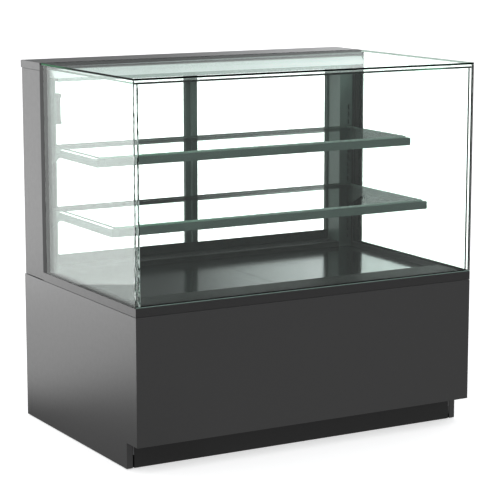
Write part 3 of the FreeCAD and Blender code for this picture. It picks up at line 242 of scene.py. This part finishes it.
BLACK = (0.008, 0.008, 0.0082)
SAGE = (0.145, 0.198, 0.178)  # the grey-green of the posts, the shelf metal and the doors
FINISHES = {
    "base_paint": powder_coat("base_paint", BLACK, 0.36, ior=2.4),
    "service_paint": powder_coat("service_paint", BLACK, 0.36, ior=2.4),
    "frame_paint": powder_coat("frame_paint", BLACK, 0.36, ior=2.05),
    "cap_paint": powder_coat("cap_paint", (0.008, 0.008, 0.0085), 0.36, ior=2.05),
    "kick_paint": powder_coat("kick_paint", (0.004, 0.004, 0.004), 0.4, ior=1.85),
    "black_ledge": powder_coat("black_ledge", (0.01, 0.012, 0.011), 0.5, ior=1.25),
    # the outlet's own dark metal, made darker still as painted shade, since it lies in shade
    "outlet_metal": powder_coat("outlet_metal", (0.02, 0.024, 0.022), 0.5, ior=1.35),
    "deck_paint": powder_coat("deck_paint", (0.008, 0.01, 0.0095), 0.14, grain=0.000002, ior=1.7,
                              gloss=(0.78, 1.0, 0.97)),
    "motor_black": powder_coat("motor_black", (0.02, 0.02, 0.02), 0.3, grain=0.00005),
    "post_metal": powder_coat("post_metal", SAGE, 0.4),
    "shelf_metal": powder_coat("shelf_metal", SAGE, 0.4),
    "door_metal": powder_coat("door_metal", SAGE, 0.4),
    "lamp_metal": powder_coat("lamp_metal", (0.78, 0.83, 0.82), 0.4),
    "foot_steel": galvanised("foot_steel", (0.5, 0.5, 0.51), 0.35),
    "galvanised": galvanised("galvanised", (0.6, 0.61, 0.62), 0.35),
    "tub_skin": galvanised("tub_skin", (0.66, 0.67, 0.68), 0.4),
    "screw_steel": galvanised("screw_steel", (0.35, 0.35, 0.36), 0.3),
    "coil_metal": anodised("coil_metal", (0.75, 0.75, 0.75), 0.3),
    "pipe_copper": anodised("pipe_copper", (0.85, 0.45, 0.28), 0.25),
    "seal_black": moulded("seal_black", (0.012, 0.012, 0.012), 0.75, ior=1.2),
    "probe_plastic": moulded("probe_plastic", (0.085, 0.095, 0.09), 0.5),
    "fan_plastic": moulded("fan_plastic", (0.015, 0.015, 0.015), 0.4),
    "tray_plastic": moulded("tray_plastic", (0.02, 0.02, 0.021), 0.45),
    "fascia_plastic": moulded("fascia_plastic", (0.01, 0.01, 0.012), 0.12),
    "switch_plastic": moulded("switch_plastic", (0.02, 0.02, 0.02), 0.25),
    "gland_plastic": moulded("gland_plastic", (0.02, 0.02, 0.02), 0.45),
    "clear_glass": clear_glass("clear_glass", CLEAR_TINT),
    "shelf_glass": clear_glass("shelf_glass", (0.96, 0.99, 0.975)),
    "door_glass": clear_glass("door_glass", (0.99, 0.998, 0.994)),
    "diffuser": glowing("diffuser", (0.9, 0.97, 0.95), 3.0),
    "led_board": glowing("led_board", (0.95, 0.95, 0.9), 1.0),
}
for part in frame["record"]["subparts"]:
    mesh = NODES[part["node"]].data
    mesh.materials.clear()
    mesh.materials.append(FINISHES[part["material_slot"]])

ENAMEL = 0.027  # width of the black band along the rear edge of a side pane
FOOT_GLINT_HEIGHT = 0.002  # height of the greenish band along the foot of the front panes: a painted highlight, the light caught in their bottom edge
rear_edge = ("Y", "GREATER_THAN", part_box("side_glass_left")[1].y - ENAMEL)
foot_glint = ("Z", "LESS_THAN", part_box("front_glass")[0].z + FOOT_GLINT_HEIGHT)
side_pane = clear_glass("side_pane", CLEAR_TINT, SIDE_GLARE_LIMIT, rear_edge, (0.006, 0.0075, 0.007))
# The front panes carry that painted highlight as an opaque band along their foot.
front_pane = clear_glass("front_pane", CLEAR_TINT, border=foot_glint, band=(0.3, 0.42, 0.37))
OWN_FINISHES = {  # nodes that look unlike the rest of their material slot
    "side_glass_left": side_pane,
    "side_glass_right": side_pane,
    "front_glass": front_pane,
    # painted shade: the door sill takes the outlet's darker finish, since it lies in shade
    "door_sill": FINISHES["outlet_metal"],
}
for node, finish in OWN_FINISHES.items():
    NODES[node].data.materials[0] = finish


# ---------------------------------------------------------------- cut edges of the glass, with painted reflections, light and shade
WIDTH = ("X", -0.6, 0.6)  # the runs in metres along which the painted reflections in an edge change
DEPTH = ("Y", -0.4, 0.245)
HEIGHT = ("Z", 0.5, 1.17)


def ground_edge_and_reflections(name, stops, run=WIDTH, roughness=0.25):
    """The cut edge of a pane: the deep green of thick glass with painted reflections and highlights that
    change along its run, and a ground grain.
    """
    s = Shader(name)
    bsdf = s.principled(Roughness=roughness, IOR=1.1)
    axis, low, high = run
    mix = s.node("ShaderNodeMix", data_type="RGBA", blend_type="MULTIPLY")
    mix.inputs["Factor"].default_value = 1.0
    s.link(s.ramp(s.spread(s.along(axis), low, high), stops), mix.inputs["A"])
    s.link(s.ramp(s.noise(60.0, 4.0), [(0.3, 0.7), (0.7, 1.0)]), mix.inputs["B"])
    s.link(mix.outputs["Result"], bsdf.inputs["Base Color"])
    s.roughen(bsdf, s.noise(400.0, 2.0), 0.00002)
    return s.show(bsdf.outputs["BSDF"])


def faceted_edge(name):
    """The corner joint of the panes: long slanting glints of white, pale green and dark."""
    s = Shader(name)
    bsdf = s.principled(Roughness=0.2, IOR=1.3)
    slant = (math.radians(5), math.radians(-7), 0.0)
    glints = s.noise(1.0, 3.0, 0.65, s.stretched((170.0, 170.0, 34.0), slant))
    stops = [(0.44, (0.006, 0.01, 0.008)), (0.49, (0.05, 0.09, 0.07)), (0.51, (0.4, 0.6, 0.5)),
             (0.55, (0.95, 1.0, 0.98))]
    s.link(s.ramp(glints, stops), bsdf.inputs["Base Color"])
    return s.show(bsdf.outputs["BSDF"])


# DEEP and BOTTLE are the glass's own dark green; the lighter stops are painted reflections and highlights in
# the edges, and SHADED is painted shade.
DEEP = (0.008, 0.011, 0.01)
BOTTLE = (0.012, 0.04, 0.025)
GREY = (0.045, 0.055, 0.05)
GREEN = (0.07, 0.24, 0.12)
MINT = (0.35, 0.75, 0.52)
PALE = (0.62, 0.78, 0.7)
WHITISH = (0.8, 0.95, 0.88)
FAINT = (0.8, 0.97, 0.86)
SHADED = (0.26, 0.34, 0.3)
TOP_FRONT = [(0.0, DEEP), (0.85, DEEP), (0.93, BOTTLE), (1.0, DEEP)]
INNER_FRONT = [(0.0, GREY), (0.76, GREY), (0.82, GREEN), (0.86, MINT), (0.885, MINT), (0.92, GREY),
               (1.0, DEEP)]
TOP_LEFT = [(0.0, DEEP), (0.62, DEEP), (0.8, GREEN), (1.0, GREEN)]
INNER_LEFT = [(0.0, MINT), (0.2, PALE), (1.0, GREY)]
# The one cut-edge finish comes in copies by the way an edge faces: the pale lit edge is painted light on
# edges facing up and towards +X, the shaded edge is painted shade, the bright edge is a painted highlight,
# and the dark edge is the glass's own deep green, turning grey towards +X.
EDGES = {
    "dark_edge": ground_edge_and_reflections("dark_edge", [(0.0, DEEP), (0.45, DEEP), (1.0, GREY)]),
    "top_front_edge": ground_edge_and_reflections("top_front_edge", TOP_FRONT),
    "inner_front_edge": ground_edge_and_reflections("inner_front_edge", INNER_FRONT),
    "left_edge": ground_edge_and_reflections("left_edge", TOP_LEFT, DEPTH),
    "inner_left_edge": ground_edge_and_reflections("inner_left_edge", INNER_LEFT, DEPTH),
    "upright_edge": ground_edge_and_reflections("upright_edge", even(DEEP), HEIGHT),
    "pale_lit_edge": ground_edge_and_reflections("pale_lit_edge", [(0.0, PALE), (1.0, FAINT)]),
    "shaded_edge": ground_edge_and_reflections("shaded_edge", even(SHADED)),
    # a painted highlight, for the front edges of the shelf glass
    "painted_highlight_edge": ground_edge_and_reflections("painted_highlight_edge", [(0.0, MINT), (0.5, WHITISH), (1.0, PALE)], roughness=0.15),
    "corner_glints": faceted_edge("corner_glints"),
    # painted light: the metal front of the lamp housing glows faintly for the light that falls on it, though
    # it is no lamp
    "lamp_front": glowing("lamp_front", (0.93, 1.0, 0.98), 0.3),
    "joint_foil": powder_coat("joint_foil", (0.45, 0.5, 0.49), 0.5),
}
SIDEWAYS = 0.6  # how squarely a face looks along a side, so that a pane's arris counts with its edge
AXES = {"-X": (0, -1), "+X": (0, 1), "-Y": (1, -1), "+Y": (1, 1), "-Z": (2, -1), "+Z": (2, 1)}


def paint_faces(node, side, edge, region=None):
    """Gives the faces of one node that look along a side their own finish.

    region is an axis and a range in metres that the middle of the face has to be in.
    """
    mesh = NODES[node].data
    if EDGES[edge].name not in mesh.materials:
        mesh.materials.append(EDGES[edge])
    index = list(mesh.materials).index(EDGES[edge])
    axis, sign = AXES[side]
    matrix = NODES[node].matrix_world
    for face in mesh.polygons:
        if (matrix.to_3x3() @ face.normal)[axis] * sign < SIDEWAYS:
            continue
        middle = matrix @ face.center
        if region is None or region[1] < middle["XYZ".index(region[0])] < region[2]:
            face.material_index = index


PANE = 0.006  # thickness of one pane
GAP = 0.006  # between the two panes of a unit
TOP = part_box("top_glass")[1].z
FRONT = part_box("front_glass")[0].y
OUTER_PANE = ("Z", TOP - PANE, TOP)
INNER_PANE = ("Z", TOP - 2 * PANE - GAP, TOP - PANE - GAP)
FOIL_FROM, FOIL_TO = 0.016, 0.0095  # depths below the top that the middle of a foil-coloured seal face is in

# The edges facing +X and up take the pale lit edge as painted light.
paint_faces("top_glass", "+X", "pale_lit_edge", OUTER_PANE)
for side, outer, inner in (("-Y", "top_front_edge", "inner_front_edge"),
                           ("-X", "left_edge", "inner_left_edge"), ("+Y", "dark_edge", "dark_edge")):
    paint_faces("top_glass", side, outer, OUTER_PANE)
    paint_faces("top_glass", side, inner, INNER_PANE)
for node, front in (("side_glass_left", "corner_glints"), ("side_glass_right", "upright_edge")):
    for side, edge in (("-Y", front), ("+Y", "dark_edge"), ("-Z", "dark_edge"), ("+Z", "pale_lit_edge")):
        paint_faces(node, side, edge)
for side, edge in (("-X", "corner_glints"), ("-Z", "dark_edge"), ("+Z", "pale_lit_edge")):
    paint_faces("front_glass", side, edge)
paint_faces("front_glass", "+X", "upright_edge", ("Y", FRONT, FRONT + PANE))
# Each shelf glass has a painted highlight on its front edge and painted shade on its other edges.
for shelf in ("upper_shelf_glass", "lower_shelf_glass"):
    paint_faces(shelf, "-Y", "painted_highlight_edge")
    for side in ("-X", "+X", "+Y"):
        paint_faces(shelf, side, "shaded_edge")
for door in ("door_left_glass", "door_right_glass"):
    for side in ("-X", "+X", "-Z", "+Z"):
        paint_faces(door, side, "dark_edge")
# Painted light on the front faces of the lamp housing.
paint_faces("lamp_housing", "-Y", "lamp_front")
paint_faces("glazing_seals", "-Y", "joint_foil", ("Z", TOP - FOIL_FROM, TOP - FOIL_TO))


# ---------------------------------------------------------------- edges of the CAD pieces
FOLD = 0.0008  # outer radius of a fold or a rounded profile edge
WELD = 0.00001  # CAD faces meet without sharing corners, and those this close become one


def soften(node):
    """A small rounded edge on a CAD piece, as folded sheet and extrusions have."""
    weld = NODES[node].modifiers.new("weld", "WELD")
    weld.merge_threshold = WELD
    bevel = NODES[node].modifiers.new("edge", "BEVEL")
    bevel.width = FOLD
    bevel.segments = 2
    bevel.limit_method = "ANGLE"
    bevel.angle_limit = math.radians(40)


SOFT_EDGED = ["front_panel", "front_band", "kick_plate", "header_cap", "header_rail", "door_sill",
              "service_panel", "drip_tray", "lamp_housing", "front_ledge", "temperature_probe_guard"]
for side in ("left", "right"):
    SOFT_EDGED += [f"base_side_{side}", f"side_frame_{side}", f"door_{side}_frame", f"deck_panel_{side}"]
for level in ("upper", "lower"):
    SOFT_EDGED += [f"{level}_shelf_rails", f"{level}_shelf_bracket_left", f"{level}_shelf_bracket_right"]
for node in SOFT_EDGED:
    soften(node)


# ---------------------------------------------------------------- floor
FLOOR_REACH = 150.0  # far enough that its edge lies at the horizon
BACKLIGHT = 0.6  # light from under the floor, for the camera only, so that it stays a pale studio floor
BACKLIGHT_PER_FACE = 0.2  # what it gains with each face of glass in front, to stay as pale behind panes
GLARE_LEFT = 1.15  # radiance of the floor behind the left side, as the panes and the paint mirror it
GLARE_AHEAD = 0.21  # the same elsewhere, as a share of that
LEFT_FROM, LEFT_FULL = -0.6, -0.8  # where the bright part of the floor starts along X, and is full
BEHIND_FROM, BEHIND_FULL = 0.38, 0.85  # the same along Y


def floor_paper():
    """Matt white paper, backlit for the camera. In mirrors, its part behind the left side is bright."""
    s = Shader("floor_paper")
    paper = s.principled(Roughness=1.0, IOR=1.0, Emission_Color=(1.0, 1.0, 1.0, 1.0))
    s.link(s.ramp(s.noise(2.0), [(0.3, 0.79), (0.7, 0.81)]), paper.inputs["Base Color"])
    rays = s.node("ShaderNodeLightPath").outputs
    backlight = s.maths("MULTIPLY_ADD", rays["Transparent Depth"], BACKLIGHT_PER_FACE, BACKLIGHT)
    s.link(s.maths("MULTIPLY", rays["Is Camera Ray"], backlight), paper.inputs["Emission Strength"])
    leftness = s.spread(s.along("X"), LEFT_FROM, LEFT_FULL)
    behindness = s.spread(s.along("Y"), BEHIND_FROM, BEHIND_FULL)
    glare = s.node("ShaderNodeEmission")
    glare.inputs["Strength"].default_value = GLARE_LEFT
    lit_part = s.maths("MULTIPLY", leftness, behindness)
    s.link(s.ramp(lit_part, [(0.0, GLARE_AHEAD), (1.0, 1.0)]), glare.inputs["Color"])
    return s.show(s.blend(rays["Is Glossy Ray"], paper.outputs["BSDF"], glare.outputs["Emission"]))


floor_mesh = bpy.data.meshes.new("floor")
corners = [(x * FLOOR_REACH, y * FLOOR_REACH, 0.0) for x, y in ((-1, -1), (1, -1), (1, 1), (-1, 1))]
floor_mesh.from_pydata(corners, [], [(0, 1, 2, 3)])
floor_mesh.materials.append(floor_paper())
floor = bpy.data.objects.new("floor", floor_mesh)
scene.collection.objects.link(floor)


# ---------------------------------------------------------------- sky and light
BACKDROP = 1.5  # white backdrop beyond the floor, bright enough to stay white through the panes
SKY_BEHIND_LEFT = [(0.0, 0.75), (0.09, 0.75), (0.15, 0.1), (0.3, 0.2), (0.5, 0.9)]
SKY_BEHIND_RIGHT = [(0.0, 1.3), (0.1, 1.5), (0.18, 3.0), (0.3, 2.0), (0.5, 1.0)]
SKY_AHEAD = [(0.0, 0.22), (0.3, 0.3), (0.6, 0.9)]
RIGHTNESS = [(0.455, 0.0), (0.55, 1.0)]
BEHINDNESS = [(0.0, 0.0), (0.3, 1.0)]


def studio_sky():
    """Soft light from all round, by the height of a direction: low down it is bright behind the case on the
    right, medium behind it on the left and dim on the camera's side. The camera sees a white backdrop."""
    world = bpy.data.worlds.new("studio")
    world.use_nodes = True
    tree = world.node_tree
    direction = tree.nodes.new("ShaderNodeTexCoord").outputs["Generated"]
    split = tree.nodes.new("ShaderNodeSeparateXYZ")
    tree.links.new(direction, split.inputs["Vector"])

    def scale_of(value, stops):
        ramp = tree.nodes.new("ShaderNodeValToRGB")
        elements = ramp.color_ramp.elements
        while len(elements) < len(stops):
            elements.new(0.5)
        for element, (place, grey) in zip(elements, stops):
            element.position = place
            element.color = (grey * 0.98, grey * 0.99, grey, 1.0)
        tree.links.new(value, ramp.inputs["Fac"])
        return ramp.outputs["Color"]

    def blend(factor, first, second):
        mix = tree.nodes.new("ShaderNodeMix")
        mix.data_type = "RGBA"
        tree.links.new(factor, mix.inputs["Factor"])
        tree.links.new(first, mix.inputs["A"])
        tree.links.new(second, mix.inputs["B"])
        return mix.outputs["Result"]

    behind_left = scale_of(split.outputs["Z"], SKY_BEHIND_LEFT)
    behind_right = scale_of(split.outputs["Z"], SKY_BEHIND_RIGHT)
    ahead = scale_of(split.outputs["Z"], SKY_AHEAD)
    behind = blend(scale_of(split.outputs["X"], RIGHTNESS), behind_left, behind_right)
    background = tree.nodes["Background"]
    tree.links.new(blend(scale_of(split.outputs["Y"], BEHINDNESS), ahead, behind), background.inputs["Color"])
    backdrop = tree.nodes.new("ShaderNodeBackground")
    backdrop.inputs["Strength"].default_value = BACKDROP
    seen = tree.nodes.new("ShaderNodeMixShader")
    tree.links.new(tree.nodes.new("ShaderNodeLightPath").outputs["Is Camera Ray"], seen.inputs["Fac"])
    tree.links.new(background.outputs["Background"], seen.inputs[1])
    tree.links.new(backdrop.outputs["Background"], seen.inputs[2])
    tree.links.new(seen.outputs["Shader"], tree.nodes["World Output"].inputs["Surface"])
    return world


scene.world = studio_sky()

LIGHT_PLACE = Vector((-1.75, 1.9, 1.0))
LIGHT_AIM = Vector((-0.6, 0.0, 0.8))
light = bpy.data.lights.new("left_light", "AREA")
light.shape = "RECTANGLE"
light.size = 2.2
light.size_y = 1.9
light.energy = 11.5
left_light = bpy.data.objects.new("left_light", light)
left_light.location = LIGHT_PLACE
left_light.rotation_euler = (LIGHT_AIM - LIGHT_PLACE).to_track_quat("-Z", "Y").to_euler()
scene.collection.objects.link(left_light)


# ---------------------------------------------------------------- camera
CAMERA_PLACE = (-3.0187, -5.2948, 1.6465)
PITCH = 10.07  # degrees below the horizontal
YAW = 29.83  # degrees to the right of straight at the front
camera = bpy.data.cameras.new("camera")
camera.sensor_width = 36.0
camera.lens = 137.4
camera.clip_end = 100.0
viewer = bpy.data.objects.new("camera", camera)
viewer.location = CAMERA_PLACE
viewer.rotation_euler = (math.radians(90 - PITCH), 0.0, math.radians(-YAW))
scene.collection.objects.link(viewer)
scene.camera = viewer
scene.view_settings.view_transform = "Standard"
